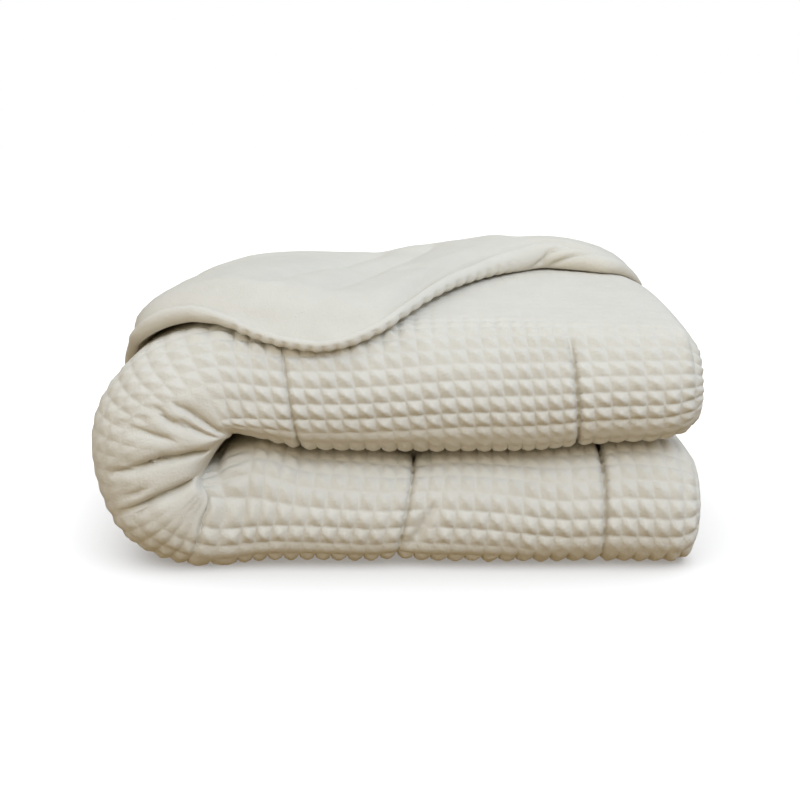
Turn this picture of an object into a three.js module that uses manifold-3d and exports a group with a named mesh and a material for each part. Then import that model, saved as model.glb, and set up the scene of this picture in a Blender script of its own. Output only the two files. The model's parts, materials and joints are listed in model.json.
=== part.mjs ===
// A quilted duvet, folded lengthwise into a strip, then folded in half like a hairpin, with its last
// run turned forward on top so that the lining shows. Millimetres: X runs along the front fold, Y goes
// to the back and Z is up. Each cross-section is one back-and-forth ribbon of the filled duvet: inner
// run, front fold, outer run, back fold, flap. The strip carries it along the upper tier, round the
// bend on the left, and back along the lower tier.

import * as THREE from "three";
import Module from "manifold-3d";

// Hairpin, seen from the front
const UPPER_END_X = 312;
const LOWER_END_X = 314;
const CREASE_X = -168; // axis of the bend
const CREASE_Z = 117; // line where the two tiers meet
const LOWER_SQUASH = 0.92; // the lower tier is pressed thinner than the upper one
const EYE_RADIUS = 6; // open eye left inside the bend
const EYE_LENGTH = 90; // the eye closes to the tier gap over this length
const TIER_GAP = 3;

// Layers of the strip, measured outwards from the line between the tiers
const RUN_THICKNESS = 60;
const RUN_GAP = 4;
const FOLD_HEIGHT = RUN_THICKNESS + RUN_GAP / 2; // axis of the front fold
const FOLD_DEPTH = 62; // axis of the front fold behind the front
const BACK_FOLD_Y = 366; // axis of the back fold
const BACK_FOLD_SPREAD = 14; // room along the rim where the back fold lies open
const INNER_EDGE_Y = 402;
const LEAN = 12; // how far the top of each front fold leans back
const LEAN_FADE = 200;
const CROWN = 6; // swell of the outer run between its two folds

// Drawn-in edges and ends
const RIM_LENGTH = 34;
const RIM_SHARE = 0.8; // most of a short flap that its rim may take
const END_LENGTH = 52;
const END_LEAST = 0.12;
const END_SKEW = 22; // how much shorter each end is at the back
const ROLL_OVERHANG = 0.55; // how far the edge roll stands out of its rim, in roll radii
const ROLL_CLEARANCE = 0.4;
const ROLL_LIFT = 2; // least height of an edge roll off the floor
const INNER_ROLL_RADIUS = 6;

// Distances along the strip
const UPPER_LENGTH = UPPER_END_X - CREASE_X;
const BEND_LENGTH = Math.PI * FOLD_HEIGHT;
const BEND_END = UPPER_LENGTH + BEND_LENGTH;
const TOTAL_LENGTH = BEND_END + LOWER_END_X - CREASE_X;

// Strip: height of the outer run at its front and at its back, every so far along
const STRIP = [
  { at: 0, front: 122, back: 130 },
  { at: 60, front: 127, back: 136 },
  { at: 130, front: 128, back: 139 },
  { at: 200, front: 129, back: 137 },
  { at: 312, front: 128, back: 124 },
  { at: 392, front: 127, back: 115 },
  { at: 480, front: 127, back: 104 },
  { at: 530, front: 131, back: 106 },
  { at: 590, front: 147, back: 118 },
  { at: 620, front: 147, back: 122 },
  { at: 645, front: 138, back: 125 },
  { at: 690, front: 127, back: 127 },
  { at: 1157, front: 127, back: 127 },
];

// Flap: where its edge lies, the thickness of its filling, its gap to the strip under it, how far its
// fold is closed in degrees, and the radius of the roll that binds the edge
const FLAP = [
  { at: 0, edge: 296, thick: 14, gap: 3, fold: 180, roll: 6 },
  { at: 57, edge: 306, thick: 20, gap: 3, fold: 180, roll: 9 },
  { at: 87, edge: 318, thick: 26, gap: 3, fold: 180, roll: 13 },
  { at: 135, edge: 326, thick: 28, gap: 3, fold: 180, roll: 14 },
  { at: 165, edge: 305, thick: 28, gap: 3, fold: 180, roll: 13 },
  { at: 198, edge: 272, thick: 28, gap: 3, fold: 180, roll: 11 },
  { at: 222, edge: 243, thick: 28, gap: 3, fold: 180, roll: 9 },
  { at: 252, edge: 193, thick: 28, gap: 3, fold: 180, roll: 8 },
  { at: 284, edge: 124, thick: 28, gap: 3, fold: 180, roll: 6.5 },
  { at: 312, edge: 52, thick: 27, gap: 3, fold: 180, roll: 6 },
  { at: 342, edge: 27, thick: 26, gap: 3, fold: 180, roll: 6 },
  { at: 384, edge: 17, thick: 26, gap: 3, fold: 180, roll: 6 },
  { at: 424, edge: 20, thick: 26, gap: 3, fold: 180, roll: 6 },
  { at: 456, edge: 28, thick: 26, gap: 3, fold: 180, roll: 6 },
  { at: 480, edge: 39, thick: 24, gap: 3, fold: 180, roll: 6.5 },
  { at: 494, edge: 54, thick: 21, gap: 6, fold: 180, roll: 7 },
  { at: 510, edge: 80, thick: 18, gap: 14, fold: 180, roll: 8 },
  { at: 520, edge: 94, thick: 17, gap: 14, fold: 180, roll: 8 },
  { at: 530, edge: 118, thick: 17, gap: 8, fold: 180, roll: 8 },
  { at: 540, edge: 182, thick: 18, gap: 4, fold: 180, roll: 8 },
  { at: 552, edge: 244, thick: 20, gap: 3, fold: 180, roll: 8 },
  { at: 572, edge: 296, thick: 22, gap: 3, fold: 180, roll: 8 },
  { at: 592, edge: 324, thick: 22, gap: 3, fold: 165, roll: 7 },
  { at: 612, edge: 340, thick: 26, gap: 3, fold: 110, roll: 6 },
  { at: 635, edge: 336, thick: 42, gap: 3, fold: 40, roll: 6 },
  { at: 660, edge: 330, thick: 62, gap: 3, fold: 0, roll: 6 },
  { at: 1157, edge: 330, thick: 62, gap: 3, fold: 0, roll: 6 },
];

// Quilting seams across the strip: how much of the thickness each takes away, and its half width
const SEAMS = [
  { at: 134, depth: 0.3, width: 9 },
  { at: 428, depth: 0.25, width: 9 },
  { at: 644, depth: 0.14, width: 9 },
  { at: 851, depth: 0.5, width: 12 },
  { at: 1050, depth: 0.3, width: 9 },
];

// Folds that run in towards the crease on the front of the bend, by angle from the top
const BEND_FOLDS = [
  { angle: 58, depth: 9, width: 5 },
  { angle: 74, depth: 8, width: 5 },
  { angle: 108, depth: 14, width: 6 },
  { angle: 128, depth: 13, width: 6 },
];
const BEND_FOLD_FADE = 80;

// Detail of the mesh
const END_STATIONS = [0, 0.04, 0.14, 0.32, 0.6, 1];
const SEAM_STATIONS = [-2.4, -0.8, 0, 0.8, 2.4];
const BEND_STATION_ANGLE = 9;
const LONGEST_STATION = 58;
const SHORTEST_STATION = 5;
const RIM_STEPS = [0, 0.06, 0.36, 1];
const RUN_STEPS = 4;
const FRONT_STEPS = 9;
const BACK_STEPS = 5;
const FLAP_STEPS = 4;
const ROLL_SIDES = 8;
const ROLL_STEP = 17;

const wasm = await Module();
wasm.setup();

const { clamp, degToRad, lerp, smoothstep } = THREE.MathUtils;

// Smooth value of one column of a table at a distance along the strip
function column(rows, name, at) {
  const last = rows.length - 1;
  const next = clamp(rows.findIndex((row) => row.at > at), 1, last);
  const [before, from, to, after] = [next - 2, next - 1, next, next + 1].map(
    (index) => rows[clamp(index, 0, last)],
  );
  const span = to.at - from.at;
  const slope = (a, b) => ((b[name] - a[name]) / (b.at - a.at)) * span;
  const t = at >= rows[last].at ? 1 : clamp((at - from.at) / span, 0, 1);
  const start = slope(before, to);
  const end = slope(from, after);
  const bend = 2 * (from[name] - to[name]) + start + end;
  const sag = 3 * (to[name] - from[name]) - 2 * start - end;
  return from[name] + t * (start + t * (sag + t * bend));
}

const bell = (distance) => Math.exp(-distance * distance);
const roundOff = (share) => Math.sqrt(1 - (1 - clamp(share, 0, 1)) ** 2);

// Angle round the bend: 0 on the upper tier, pi on the lower one
function bendAngle(at) {
  return Math.PI * clamp((at - UPPER_LENGTH) / BEND_LENGTH, 0, 1);
}

// How far the folds of the bend sink in at an angle and a height
function bendSink(angle, height) {
  const start = smoothstep(height, 0, FOLD_HEIGHT / 2);
  const end = 1 - smoothstep(height, FOLD_HEIGHT, 2 * FOLD_HEIGHT);
  const sinks = BEND_FOLDS.map((fold) => {
    const away = angle - degToRad(fold.angle);
    return fold.depth * bell(away / degToRad(fold.width));
  });
  return start * end * Math.max(...sinks);
}

// Point of the part from its distance along the strip, its depth and its height off the tier line
function place(at, [y, height]) {
  const angle = bendAngle(at);
  const beyond = at < UPPER_LENGTH ? UPPER_LENGTH - at : Math.max(at - BEND_END, 0);
  const eye = lerp(EYE_RADIUS, TIER_GAP / 2, smoothstep(beyond, 0, EYE_LENGTH));
  const lean = LEAN * Math.cos(angle) * (height / FOLD_HEIGHT - 1) * (1 - smoothstep(y, 0, LEAN_FADE));
  const sink = bendSink(angle, height) * (1 - smoothstep(y, 0, BEND_FOLD_FADE));
  const skew = END_SKEW * (beyond / UPPER_LENGTH) ** 2 * clamp(y / BACK_FOLD_Y, 0, 1);
  const reach = eye + height * lerp(1, LOWER_SQUASH, smoothstep(angle, Math.PI / 2, Math.PI));
  const x = CREASE_X + beyond - skew - reach * Math.sin(angle);
  const z = CREASE_Z + reach * Math.cos(angle);
  return new THREE.Vector3(x, y + lean + sink, Math.max(z, 0));
}

// Outer surface of the strip at a depth: its height, and the direction that it faces
function outerSurface(at, y) {
  const front = column(STRIP, "front", at);
  const back = column(STRIP, "back", at);
  const radius = front - FOLD_HEIGHT;
  if (y < FOLD_DEPTH) {
    const turn = Math.asin(clamp((FOLD_DEPTH - y) / radius, 0, 1));
    return { height: FOLD_HEIGHT + radius * Math.cos(turn), turn };
  }
  const share = (y - FOLD_DEPTH) / (BACK_FOLD_Y - FOLD_DEPTH);
  return { height: lerp(front, back, share) + CROWN * Math.sin(Math.PI * share), turn: 0 };
}

// How much of its thickness the duvet keeps near its two ends, and next to its quilting seams
function endFullness(at) {
  const nearest = Math.min(at, TOTAL_LENGTH - at);
  return Math.max(roundOff(nearest / END_LENGTH), END_LEAST);
}

function seamFullness(at) {
  return SEAMS.reduce((full, seam) => full * (1 - seam.depth * bell((at - seam.at) / seam.width)), 1);
}

// Rungs of the ribbon: a point on the face of the duvet, one on the lining, how far the rim draws
// them together, and how far they belong to the flap
function innerRun() {
  const reach = INNER_EDGE_Y - FOLD_DEPTH;
  const steps = RIM_STEPS.map((step) => step * RIM_LENGTH);
  for (let step = 1; step < RUN_STEPS; step++) {
    steps.push(lerp(RIM_LENGTH, reach, step / RUN_STEPS));
  }
  return steps.map((step) => ({
    face: [INNER_EDGE_Y - step, 0],
    lining: [INNER_EDGE_Y - step, RUN_THICKNESS],
    rim: roundOff(step / RIM_LENGTH),
    free: 0,
  }));
}

function frontFold(at) {
  const outer = column(STRIP, "front", at) - FOLD_HEIGHT;
  return Array.from({ length: FRONT_STEPS }, (_, step) => {
    const share = step / (FRONT_STEPS - 1);
    const turn = Math.PI * (share + 0.5);
    const around = (radius) => [
      FOLD_DEPTH + radius * Math.cos(turn),
      FOLD_HEIGHT - radius * Math.sin(turn),
    ];
    return {
      face: around(lerp(FOLD_HEIGHT, outer, share)),
      lining: around(RUN_GAP / 2),
      rim: 1,
      free: 0,
    };
  });
}

function outerRun(at) {
  return Array.from({ length: RUN_STEPS }, (_, step) => {
    const y = lerp(FOLD_DEPTH, BACK_FOLD_Y, (step + 1) / RUN_STEPS);
    return {
      face: [y, outerSurface(at, y).height],
      lining: [y, RUN_THICKNESS + RUN_GAP],
      rim: 1,
      free: 0,
    };
  });
}

// Axis of the back fold, and how far the fold is open
function backAxis(at) {
  const closed = degToRad(column(FLAP, "fold", at));
  return {
    height: outerSurface(at, BACK_FOLD_Y).height + column(FLAP, "gap", at) / 2,
    closed,
    spread: BACK_FOLD_SPREAD * (1 - closed / Math.PI),
  };
}

function backFold(at) {
  const { height, closed, spread } = backAxis(at);
  const gap = column(FLAP, "gap", at) / 2;
  const start = height - RUN_THICKNESS - RUN_GAP;
  const end = gap + column(FLAP, "thick", at);
  return Array.from({ length: BACK_STEPS }, (_, step) => {
    const share = (step + 1) / (BACK_STEPS + 1);
    const turn = share * closed;
    const around = (radius) => [
      BACK_FOLD_Y + spread * share + radius * Math.sin(turn),
      height - radius * Math.cos(turn),
    ];
    return { face: around(gap), lining: around(lerp(start, end, share)), rim: 1, free: share };
  });
}

function flap(at) {
  const edge = column(FLAP, "edge", at);
  const thick = column(FLAP, "thick", at);
  const gap = column(FLAP, "gap", at);
  const roll = column(FLAP, "roll", at);
  const { height, closed, spread } = backAxis(at);
  const opened = Math.PI - closed;
  const swing = ([y, up]) => [
    BACK_FOLD_Y + spread + (y - BACK_FOLD_Y) * Math.cos(opened) + (up - height) * Math.sin(opened),
    height - (y - BACK_FOLD_Y) * Math.sin(opened) + (up - height) * Math.cos(opened),
  ];
  const rimLength = Math.min(RIM_LENGTH, RIM_SHARE * (BACK_FOLD_Y - edge));
  const steps = RIM_STEPS.map((step) => edge + step * rimLength);
  for (let step = 1; step <= FLAP_STEPS; step++) {
    steps.push(lerp(edge + rimLength, BACK_FOLD_Y, step / FLAP_STEPS));
  }
  return steps.reverse().map((y) => {
    const under = outerSurface(at, y);
    const rise = lerp(2 * roll, thick, smoothstep(y, edge, edge + 2 * rimLength));
    const off = (up) => [y - up * Math.sin(under.turn), under.height + up * Math.cos(under.turn)];
    return {
      face: swing(off(gap)),
      lining: swing(off(gap + rise)),
      rim: roundOff((y - edge) / rimLength),
      free: 1,
    };
  });
}

// All rungs across the duvet, drawn in at the rims, the seams and the ends. The flap sinks with the
// strip under it at the ends and lies over its seams.
function section(at) {
  const end = endFullness(at);
  const seam = seamFullness(at);
  const halfRun = (outerSurface(at, BACK_FOLD_Y).height - RUN_THICKNESS - RUN_GAP) / 2;
  const sink = ((1 - end) * halfRun * column(FLAP, "fold", at)) / 180;
  const rungs = [...innerRun(), ...frontFold(at), ...outerRun(at), ...backFold(at), ...flap(at)];
  return rungs.map(({ face, lining, rim, free }) => {
    const full = rim * end * lerp(seam, 1, free);
    const middle = face.map((value, axis) => (value + lining[axis]) / 2);
    const drawIn = (point) => {
      const [y, height] = point.map((value, axis) => lerp(middle[axis], value, full));
      return [y, height - free * sink];
    };
    return { face: drawIn(face), lining: drawIn(lining) };
  });
}

// Ring of points round a section: along the face, and back along the lining
function ribbonRing(at) {
  const rungs = section(at);
  const back = rungs.slice(1, -1).reverse();
  const outline = [...rungs.map((rung) => rung.face), ...back.map((rung) => rung.lining)];
  return outline.map((point) => place(at, point));
}

// Distances along the strip at which sections are taken
function stations() {
  const wanted = [];
  for (const share of END_STATIONS) {
    wanted.push(share * END_LENGTH, TOTAL_LENGTH - share * END_LENGTH);
  }
  for (const seam of SEAMS) {
    wanted.push(...SEAM_STATIONS.map((share) => seam.at + share * seam.width));
  }
  for (let angle = 0; angle <= 180; angle += BEND_STATION_ANGLE) {
    wanted.push(UPPER_LENGTH + (angle / 180) * BEND_LENGTH);
  }
  const rows = FLAP.map((row) => row.at).filter((at) => at > END_LENGTH && at < UPPER_LENGTH);
  wanted.push(...rows);
  wanted.sort((a, b) => a - b);
  const spaced = wanted.filter((at, index) => {
    const nearEnd = Math.min(at, TOTAL_LENGTH - at) < END_LENGTH;
    return index === 0 || nearEnd || at - wanted[index - 1] > SHORTEST_STATION;
  });
  return spaced.flatMap((at, index) => {
    const span = index + 1 < spaced.length ? spaced[index + 1] - at : 0;
    const parts = Math.max(Math.ceil(span / LONGEST_STATION), 1);
    return Array.from({ length: parts }, (_, part) => at + (span * part) / parts);
  });
}

// Closed solid over a row of rings, with each end closed by rungs across its ring
function loft(rings) {
  const count = rings[0].length;
  const triangles = [];
  const quad = (a, b, c, d) => triangles.push(a, b, c, a, c, d);
  for (let ring = 0; ring + 1 < rings.length; ring++) {
    for (let point = 0; point < count; point++) {
      const next = (point + 1) % count;
      const near = ring * count;
      const far = near + count;
      quad(near + point, near + next, far + next, far + point);
    }
  }
  const last = (rings.length - 1) * count;
  for (let rung = 0; rung < count / 2; rung++) {
    const corners = [rung, rung + 1, count - rung - 1, (count - rung) % count];
    const [a, b, c, d] = corners;
    quad(d, c, b, a);
    quad(last + a, last + b, last + c, last + d);
  }
  const solid = [];
  for (let index = 0; index < triangles.length; index += 3) {
    const corners = triangles.slice(index, index + 3);
    if (new Set(corners).size === 3) {
      solid.push(...corners);
    }
  }
  return new wasm.Manifold(
    new wasm.Mesh({
      numProp: 3,
      vertProperties: new Float32Array(rings.flat().flatMap((point) => point.toArray())),
      triVerts: new Uint32Array(solid),
    }),
  );
}

// Round roll along a list of points, each with its own radius
function roll(points, radii, extra) {
  const rings = points.map((point, index) => {
    const before = points[Math.max(index - 1, 0)];
    const after = points[Math.min(index + 1, points.length - 1)];
    const along = after.clone().sub(before).normalize();
    const across = new THREE.Vector3(0, 1, 0).projectOnPlane(along).normalize();
    const up = along.clone().cross(across);
    return Array.from({ length: ROLL_SIDES }, (_, side) => {
      const turn = (2 * Math.PI * side) / ROLL_SIDES;
      const spoke = across.clone().multiplyScalar(Math.cos(turn)).addScaledVector(up, Math.sin(turn));
      return point.clone().addScaledVector(spoke, radii[index] + extra);
    });
  });
  return loft(rings);
}

// Route of the roll that binds one long edge: the rim at the chosen end of each section
function edgeRoute(rimOf, radiusOf) {
  const ends = END_LENGTH / 2;
  const steps = Math.ceil((TOTAL_LENGTH - 2 * ends) / ROLL_STEP);
  const points = [];
  const radii = [];
  for (let step = 0; step <= steps; step++) {
    const at = lerp(ends, TOTAL_LENGTH - ends, step / steps);
    const radius = radiusOf(at);
    const [rim, inside] = rimOf(section(at));
    const out = new THREE.Vector2(...rim.face).sub(new THREE.Vector2(...inside.face)).normalize();
    const seat = new THREE.Vector2(...rim.face).addScaledVector(out, radius * ROLL_OVERHANG);
    const point = place(at, seat.toArray());
    point.z = Math.max(point.z, radius + ROLL_LIFT);
    points.push(point);
    radii.push(radius);
  }
  return { points, radii };
}

// Body of the duvet, without the crumbs of rim that lie outside the seat of a roll
function largest(solids) {
  return solids.reduce((best, solid) => (solid.volume() > best.volume() ? solid : best));
}

// Plush of the duvet and of its rolled edges, in an undyed ivory
const facePlush = new THREE.MeshStandardMaterial({ color: 0xe9e5d9, roughness: 0.95, metalness: 0 });
const bindingPlush = new THREE.MeshStandardMaterial({ color: 0xe6e3d8, roughness: 0.9, metalness: 0 });

function mesh(name, solid, material) {
  const { vertProperties, triVerts } = solid.getMesh();
  const geometry = new THREE.BufferGeometry();
  geometry.setAttribute("position", new THREE.BufferAttribute(vertProperties, 3));
  geometry.setIndex(new THREE.BufferAttribute(triVerts, 1));
  const result = new THREE.Mesh(geometry, material);
  result.name = name;
  return result;
}

const outerRoute = edgeRoute(
  (rungs) => [rungs.at(-1), rungs.at(-2)],
  (at) => column(FLAP, "roll", at),
);
const innerRoute = edgeRoute(
  (rungs) => [rungs[0], rungs[1]],
  () => INNER_ROLL_RADIUS,
);

const outerRoll = roll(outerRoute.points, outerRoute.radii, 0);
const innerRoll = roll(innerRoute.points, innerRoute.radii, 0);
const seated = loft(stations().map(ribbonRing))
  .subtract(roll(outerRoute.points, outerRoute.radii, ROLL_CLEARANCE))
  .subtract(roll(innerRoute.points, innerRoute.radii, ROLL_CLEARANCE));
const duvet = largest(seated.decompose());

const foldedDuvet = new THREE.Group();
foldedDuvet.add(mesh("duvet", duvet, facePlush));
foldedDuvet.add(mesh("edge_roll_outer", outerRoll, bindingPlush));
foldedDuvet.add(mesh("edge_roll_inner", innerRoll, bindingPlush));

// The origin is under the middle of the pack, on the surface that it lies on
const box = new THREE.Box3().setFromObject(foldedDuvet);
const middle = box.getCenter(new THREE.Vector3());
for (const piece of foldedDuvet.children) {
  piece.position.set(-middle.x, -middle.y, -box.min.z);
}

export default foldedDuvet;
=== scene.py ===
# %% [markdown]
# # A folded plush duvet
#
# The object is a quilted duvet: a face cloth of plush with pressed waffle squares, a smooth plush
# lining, soft filling between them and a rolled edge. It is folded lengthwise, then in half like a
# hairpin, and its last run is turned forward on top so that the lining shows. This lesson loads the
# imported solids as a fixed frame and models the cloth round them.

# %% Load the frame
import json
import math

import bmesh
import bpy
import numpy as np
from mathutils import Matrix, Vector

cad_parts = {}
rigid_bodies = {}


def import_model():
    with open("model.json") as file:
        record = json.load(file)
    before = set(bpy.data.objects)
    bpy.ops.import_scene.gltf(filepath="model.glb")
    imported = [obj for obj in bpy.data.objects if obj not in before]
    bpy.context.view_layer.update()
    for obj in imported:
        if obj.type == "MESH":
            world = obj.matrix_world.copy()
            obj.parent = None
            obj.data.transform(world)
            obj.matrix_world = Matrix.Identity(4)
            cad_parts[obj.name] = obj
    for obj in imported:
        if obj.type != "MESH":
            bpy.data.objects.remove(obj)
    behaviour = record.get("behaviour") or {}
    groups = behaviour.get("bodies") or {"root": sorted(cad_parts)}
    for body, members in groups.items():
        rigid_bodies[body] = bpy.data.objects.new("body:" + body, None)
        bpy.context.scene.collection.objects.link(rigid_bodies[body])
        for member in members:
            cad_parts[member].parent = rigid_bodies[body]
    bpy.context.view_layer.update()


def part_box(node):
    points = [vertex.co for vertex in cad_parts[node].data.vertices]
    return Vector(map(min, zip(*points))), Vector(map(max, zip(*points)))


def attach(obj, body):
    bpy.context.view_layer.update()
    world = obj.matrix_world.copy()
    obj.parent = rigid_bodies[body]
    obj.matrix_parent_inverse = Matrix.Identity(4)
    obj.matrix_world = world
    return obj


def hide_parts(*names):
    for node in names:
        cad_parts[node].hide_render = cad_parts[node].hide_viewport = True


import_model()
scene = bpy.context.scene

# %% [markdown]
# ## Tables and smooth values
#
# A folded cloth changes slowly along its length. A long list of points could describe it, but a short
# table that is read through a smooth curve is easier to change. The solids use the same curve, so both
# follow one fold.

# %% Tables
MM = 0.001


def table(names, *rows):
    """A short table with named columns."""
    return dict(zip(names.split(), np.array(rows, float).T))


def rows_of(rows, names):
    """The rows of a table, each with the values that are named."""
    return zip(*[rows[name] for name in names.split()])


def column(rows, name, at):
    """Smooth value of one column at a place along the table's first column."""
    knots, values = rows["at"], rows[name]
    last = len(knots) - 1
    to = np.clip(np.searchsorted(knots, at, side="right"), 1, last)
    start = to - 1
    before, after = np.maximum(start - 1, 0), np.minimum(to + 1, last)
    span = knots[to] - knots[start]
    leave = (values[to] - values[before]) / (knots[to] - knots[before]) * span
    arrive = (values[after] - values[start]) / (knots[after] - knots[start]) * span
    t = np.clip((at - knots[start]) / span, 0, 1)
    rise = values[to] - values[start]
    curve = 3 * rise - 2 * leave - arrive + t * (leave + arrive - 2 * rise)
    return values[start] + t * (leave + t * curve)


# %% Smooth values
def lerp(a, b, share):
    """The value that lies a share of the way from a to b."""
    return a + (b - a) * share


def smoothstep(value, low, high):
    """Rises smoothly from 0 at low to 1 at high."""
    t = np.clip((value - low) / (high - low), 0, 1)
    return t * t * (3 - 2 * t)


def fade(value, low, high):
    """Falls smoothly from 1 at low to 0 at high."""
    return 1 - smoothstep(value, low, high)


def between(value, low, high):
    """Whether values lie between two others."""
    return (value > low) & (value < high)


def bell(distance):
    """A rounded hump of height 1."""
    return np.exp(-distance * distance)


def round_off(share):
    """A quarter of a circle, from 0 at an edge to 1 inside it."""
    return np.sqrt(1 - (1 - np.clip(share, 0, 1)) ** 2)


def pair(y, height):
    """Points of a section from their depths and heights."""
    return np.stack(np.broadcast_arrays(y, height), -1)


# %% [markdown]
# ## The fold
#
# Every point of the duvet has three numbers: how far along the folded strip it lies, how deep behind
# the front, and how high off the line where the two tiers meet. A function bends those into place:
# along the upper tier, round the bend on the left, and back along the lower tier. A cloth simulation
# could drape a flat sheet instead, but its folds would not lie as on the real pack. Sizes are
# millimetres, as on the solids.

# %% Sizes of the fold
UPPER_END_X = 312
LOWER_END_X = 314
# The crease is the line in the bend where the two tiers meet
CREASE_X = -168
CREASE_Z = 117

RUN_THICKNESS = 60
RUN_GAP = 4
FOLD_HEIGHT = RUN_THICKNESS + RUN_GAP / 2
FOLD_DEPTH = 62
BACK_FOLD_Y = 366
INNER_EDGE_Y = 402
RUN_DEPTH = BACK_FOLD_Y - FOLD_DEPTH

UPPER_LENGTH = UPPER_END_X - CREASE_X
BEND_LENGTH = math.pi * FOLD_HEIGHT
BEND_END = UPPER_LENGTH + BEND_LENGTH
TOTAL_LENGTH = BEND_END + LOWER_END_X - CREASE_X
print("strip", round(TOTAL_LENGTH), "mm long, of which the bend is", round(BEND_LENGTH), "mm")

# %% Shape along the strip
# Strip: height of the outer run at its front and its back, and how far its cross lines slant
STRIP = table(
    "at front back slant",
    (0, 122, 130, 0),
    (60, 127, 136, 0.04),
    (130, 128, 139, 0.08),
    (200, 129, 137, 0.1),
    (312, 128, 124, 0.13),
    (392, 127, 115, 0.16),
    (480, 127, 104, 0.15),
    (505, 131, 104, 0.12),
    (530, 139, 106, 0.08),
    (560, 146, 112, 0.04),
    (590, 145.5, 118, 0),
    (620, 150, 122, -0.04),
    (645, 142, 125, -0.08),
    (690, 127, 127, -0.16),
    (851, 127, 127, -0.17),
    (1050, 127, 127, 0),
    (1157, 127, 127, 0),
)

# Eye: half the gap between the tiers, how far the inside of the bend has slipped along the slanted slit
# that the pleats run into, and how round its lip is (1 is a circle, less is squarer)
EYE = table(
    "at gap x z round",
    (0, 1.5, 0, 0, 1),
    (400, 1.5, 0, 0, 1),
    (450, 1.5, 0, 12, 0.9),
    (480, 2, 0, 19, 0.8),
    (540, 3, 0, 19, 0.6),
    (565, 5, -4, 16, 0.55),
    (585, 6, -14, 2, 0.55),
    (605, 5, -23, -10, 0.55),
    (640, 5, -24, -11, 0.55),
    (660, 5, -15, -4, 0.55),
    (675, 4, -8, 4, 0.6),
    (700, 2, 0, 12, 0.7),
    (755, 1.5, 0, 0, 1),
    (1157, 1.5, 0, 0, 1),
)

# %% Bend the strip into place
LOWER_SQUASH = 0.92
EYE_REACH = 50
LEAN = 12
LEAN_FADE = 200
END_SKEW = 22
# Towards the right end the slit between the tiers rises, from the first of these places to the second
TIER_RISE = 9
TIER_RISE_X = (120, 240)


def bend_angle(at):
    """Angle round the bend: 0 on the upper tier, pi on the lower one."""
    return np.pi * np.clip((at - UPPER_LENGTH) / BEND_LENGTH, 0, 1)


def place(at, y, height, slant):
    """Points of the duvet from their place along the strip, their depth and their height."""
    at = at + slant * (np.clip(height, 0, 2 * FOLD_HEIGHT) - FOLD_HEIGHT)
    angle = bend_angle(at)
    beyond = np.where(at < UPPER_LENGTH, UPPER_LENGTH - at, np.maximum(at - BEND_END, 0))
    lean = LEAN * np.cos(angle) * (height / FOLD_HEIGHT - 1) * fade(y, 0, LEAN_FADE)
    skew = END_SKEW * (beyond / UPPER_LENGTH) ** 2 * np.clip(y / BACK_FOLD_Y, 0, 1)
    squash = lerp(1, LOWER_SQUASH, smoothstep(angle, np.pi / 2, np.pi))
    reach = column(EYE, "gap", at) + height * squash
    x = CREASE_X + beyond - skew - reach * np.sin(angle)
    z = CREASE_Z + reach * np.cos(angle)
    near_eye = fade(height, 0, EYE_REACH) * fade(y, FOLD_DEPTH, 3 * FOLD_DEPTH)
    x = x + near_eye * column(EYE, "x", at)
    z = z + near_eye * column(EYE, "z", at)
    z = z + TIER_RISE * smoothstep(x, *TIER_RISE_X) * (1 - np.clip(height / FOLD_HEIGHT / 2, 0, 1))
    return np.stack([x, y + lean, np.maximum(z, 0)], -1)


# %% [markdown]
# ## The layers
#
# A cross-section of the folded duvet is a ribbon that goes back and forth: inner run, front fold, outer
# run, back fold, flap. A rung joins a point on the face to the lining behind it. Where there is waffle
# the rungs are spaced by it: six to a square, close together at the valley and the peak, so that the
# flanks stay flat. An even grid with such sharp valleys would need several times the faces.

# %% Rungs across the duvet
PHASES = np.array([0, 0.1, 0.38, 0.5, 0.62, 0.9])
FOLD_ROWS = 12
RUN_ROWS = 18
INNER_ROWS = 3
LAST_ROW = FOLD_ROWS + RUN_ROWS
ROW = math.pi * FOLD_DEPTH / FOLD_ROWS
RIM_LENGTH = 34
RIM_TURN = np.linspace(0, np.pi / 2, 9)
INNER_RUNGS = 16
BACK_RUNGS = 16
FLAP_RUNGS = 36


def lattice(first, last):
    """Places of the grid lines from one waffle square to another."""
    return (np.arange(first, last)[:, None] + PHASES).ravel()


first_row = (FOLD_DEPTH - INNER_EDGE_Y) / ROW
rim_rows = RIM_LENGTH / ROW
RUNG_ROWS = np.concatenate([
    first_row + rim_rows * np.sin(RIM_TURN[:-1]) ** 2,
    np.linspace(first_row + rim_rows, -INNER_ROWS, INNER_RUNGS)[:-1],
    lattice(-INNER_ROWS, LAST_ROW),
    [LAST_ROW],
])
BACK_STEPS = np.linspace(0, 1, BACK_RUNGS)[1:-1]
FLAP_STEPS = np.linspace(0, 1, FLAP_RUNGS)
FLAP_RIM_STEPS = np.cos(RIM_TURN[1:]) ** 2
free_rungs = len(BACK_STEPS) + len(FLAP_STEPS) + len(FLAP_RIM_STEPS)
WAFFLE_ROWS = np.concatenate([RUNG_ROWS, np.full(free_rungs, LAST_ROW)])
print("rungs:", len(WAFFLE_ROWS), "a waffle row is", round(ROW, 1), "mm")

# %% [markdown]
# ## The slipped rows
#
# On the real pack the waffle rows don't run level: the cloth was pulled while it was folded, so they
# climb and sink along each tier, and are stretched on the lower one. Sliding the rungs round the fold
# moves the pressed rows with them, so the squares keep their sharp valleys.

# %% Slip the rows round the fold
SLIP_FADE = 10
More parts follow.
